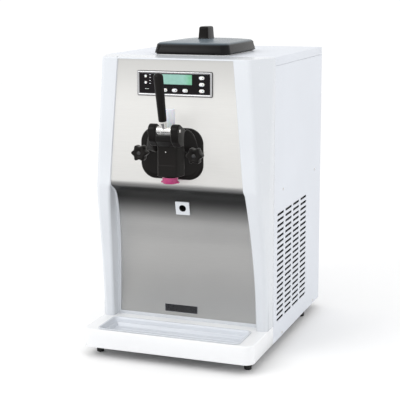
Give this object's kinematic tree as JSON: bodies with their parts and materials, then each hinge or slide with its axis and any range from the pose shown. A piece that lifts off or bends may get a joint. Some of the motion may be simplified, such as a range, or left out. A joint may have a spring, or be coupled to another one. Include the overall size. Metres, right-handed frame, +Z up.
{
  "type": "soft serve machine",
  "caption": "Countertop soft serve freezer with white moulded fascia, S-bent brushed steel front, black draw head with lever, drip shelf, lidded hopper and vented cabinet.",
  "frame": {"origin": "centre of the machine's footprint on the worktop, at the underside of its feet (bounding box bottom centre)", "axes": "+Z up, -Y towards the operator at the front, +X to the right seen from the front"},
  "size_m": [0.433, 0.6406, 0.786],
  "materials": {
    "white_moulding": "glossy moulded white plastic",
    "white_paint": "white powder coat on sheet steel",
    "brushed_panel": "stainless steel brushed across, satin",
    "black_moulding": "satin black moulded plastic",
    "display_black": "glossy black membrane",
    "display_green": "mint green liquid crystal window",
    "chrome_trim": "bright plated frame",
    "button_white": "white silicone key",
    "badge_dark": "dark plain plate",
    "magenta_nozzle": "magenta food-grade plastic",
    "white_acetal": "white acetal, slightly translucent",
    "polished_steel": "polished stainless steel",
    "galvanised": "galvanised sheet steel",
    "foam": "cream insulating foam",
    "rubber_black": "black rubber",
    "cast_housing": "cast aluminium housing",
    "motor_paint": "black motor enamel",
    "aluminium_fin": "plain aluminium",
    "copper": "bare copper tube",
    "black_inlet": "black moulded inlet"
  },
  "bodies": {
    "cabinet": {"base_pan": "galvanised", "inner_frame": "galvanised", "front_bulkhead": "galvanised", "left_side_panel": "white_paint", "right_side_panel": "white_paint", "rear_panel": "white_paint", "top_cover": "white_paint", "panel_screws": "polished_steel", "front_fascia": "white_moulding", "steel_front_panel": "brushed_panel", "outlet_bezel": "white_moulding", "badge_plate": "badge_dark", "drip_shelf": "white_moulding", "hopper": "polished_steel", "freezing_cylinder": "polished_steel", "cylinder_insulation": "foam", "shaft_seal": "rubber_black", "gear_reducer": "cast_housing", "drive_belt": "rubber_black", "drive_motor": "motor_paint", "compressor": "motor_paint", "condenser": "aluminium_fin", "fan_shroud": "galvanised", "fan_motor": "motor_paint", "refrigerant_pipes": "copper", "control_box": "galvanised", "power_inlet": "black_inlet", "freezer_door": "black_moulding", "door_studs": "polished_steel", "display_bezel": "chrome_trim", "display_panel": "display_black", "lcd_window": "display_green"},
    "lever": {"lever_hub": "white_acetal", "lever_stem": "polished_steel", "lever_grip": "black_moulding", "pivot_pin": "polished_steel"},
    "plunger": {"plunger": "white_acetal", "plunger_rings": "rubber_black"},
    "nozzle": {"nozzle_cap": "magenta_nozzle"},
    "knob_left": {"star_knob_left": "black_moulding"},
    "knob_right": {"star_knob_right": "black_moulding"},
    "beater": {"beater": "polished_steel", "scraper_blades": "white_acetal"},
    "reducer_pulley": {"reducer_pulley": "aluminium_fin"},
    "motor_pulley": {"motor_pulley": "aluminium_fin"},
    "fan": {"condenser_fan": "aluminium_fin"},
    "lid": {"hopper_lid": "black_moulding", "lid_knob": "black_moulding"},
    "air_tube": {"air_tube": "white_acetal"},
    "tray": {"drip_tray": "white_moulding"},
    "button_menu": {"button_menu": "button_white"},
    "button_set": {"button_set": "button_white"},
    "button_clean": {"button_clean": "button_white"},
    "button_power": {"button_power": "button_white"},
    "button_auto": {"button_auto": "button_white"},
    "button_stop": {"button_stop": "button_white"},
    "foot_front_left": {"foot_front_left": "rubber_black"},
    "foot_front_right": {"foot_front_right": "rubber_black"},
    "foot_rear_left": {"foot_rear_left": "rubber_black"},
    "foot_rear_right": {"foot_rear_right": "rubber_black"}
  },
  "joints": [
    {"name": "draw_lever", "type": "hinge", "parent": "cabinet", "child": "lever", "pos_m": [0, -0.2742, 0.559], "axis": [1, 0, 0], "range_deg": [0, 45]},
    {"name": "plunger_lift", "type": "slide", "parent": "cabinet", "child": "plunger", "axis": [0, 0, 1], "range_m": [0, 0.0239]},
    {"name": "nozzle_turn", "type": "hinge", "parent": "cabinet", "child": "nozzle", "pos_m": [0, -0.2432, 0.438], "axis": [0, 0, 1], "range_deg": [0, 60]},
    {"name": "knob_left_turn", "type": "hinge", "parent": "cabinet", "child": "knob_left", "pos_m": [-0.068, -0.2492, 0.502], "axis": [0, 1, 0], "continuous": true},
    {"name": "knob_right_turn", "type": "hinge", "parent": "cabinet", "child": "knob_right", "pos_m": [0.068, -0.2492, 0.502], "axis": [0, 1, 0], "continuous": true},
    {"name": "beater_spin", "type": "hinge", "parent": "cabinet", "child": "beater", "pos_m": [0, -0.1182, 0.4985], "axis": [0, 1, 0], "continuous": true},
    {"name": "reducer_pulley_spin", "type": "hinge", "parent": "cabinet", "child": "reducer_pulley", "pos_m": [0, 0.1798, 0.4985], "axis": [0, 1, 0], "continuous": true},
    {"name": "motor_pulley_spin", "type": "hinge", "parent": "cabinet", "child": "motor_pulley", "pos_m": [0, 0.1798, 0.325], "axis": [0, 1, 0], "continuous": true},
    {"name": "fan_spin", "type": "hinge", "parent": "cabinet", "child": "fan", "pos_m": [-0.1425, 0.0468, 0.2], "axis": [1, 0, 0], "continuous": true},
    {"name": "lid_lift", "type": "slide", "parent": "cabinet", "child": "lid", "axis": [0, 0, 1], "range_m": [0, 0.12]},
    {"name": "air_tube_lift", "type": "slide", "parent": "cabinet", "child": "air_tube", "axis": [0, 0, 1], "range_m": [0, 0.04]},
    {"name": "tray_lift", "type": "slide", "parent": "cabinet", "child": "tray", "axis": [0, 0, 1], "range_m": [0, 0.06]},
    {"name": "button_menu_press", "type": "slide", "parent": "cabinet", "child": "button_menu", "axis": [0, 1, 0], "range_m": [0, 0.001], "stiffness_N_per_m": 300},
    {"name": "button_set_press", "type": "slide", "parent": "cabinet", "child": "button_set", "axis": [0, 1, 0], "range_m": [0, 0.001], "stiffness_N_per_m": 300},
    {"name": "button_clean_press", "type": "slide", "parent": "cabinet", "child": "button_clean", "axis": [0, 1, 0], "range_m": [0, 0.001], "stiffness_N_per_m": 300},
    {"name": "button_power_press", "type": "slide", "parent": "cabinet", "child": "button_power", "axis": [0, 1, 0], "range_m": [0, 0.001], "stiffness_N_per_m": 300},
    {"name": "button_auto_press", "type": "slide", "parent": "cabinet", "child": "button_auto", "axis": [0, 1, 0], "range_m": [0, 0.001], "stiffness_N_per_m": 300},
    {"name": "button_stop_press", "type": "slide", "parent": "cabinet", "child": "button_stop", "axis": [0, 1, 0], "range_m": [0, 0.001], "stiffness_N_per_m": 300},
    {"name": "foot_front_left_turn", "type": "hinge", "parent": "cabinet", "child": "foot_front_left", "pos_m": [-0.19, -0.2382, 0.012], "axis": [0, 0, 1], "range_deg": [-180, 180]},
    {"name": "foot_front_right_turn", "type": "hinge", "parent": "cabinet", "child": "foot_front_right", "pos_m": [0.19, -0.2382, 0.012], "axis": [0, 0, 1], "range_deg": [-180, 180]},
    {"name": "foot_rear_left_turn", "type": "hinge", "parent": "cabinet", "child": "foot_rear_left", "pos_m": [-0.195, 0.2068, 0.012], "axis": [0, 0, 1], "range_deg": [-180, 180]},
    {"name": "foot_rear_right_turn", "type": "hinge", "parent": "cabinet", "child": "foot_rear_right", "pos_m": [0.195, 0.2068, 0.012], "axis": [0, 0, 1], "range_deg": [-180, 180]}
  ],
  "couplings": [
    {"joint": "plunger_lift", "follows": "draw_lever", "m_per_rad": 0.030209},
    {"joint": "reducer_pulley_spin", "follows": "beater_spin", "ratio": 2.5},
    {"joint": "motor_pulley_spin", "follows": "beater_spin", "ratio": 7.6389}
  ]
}
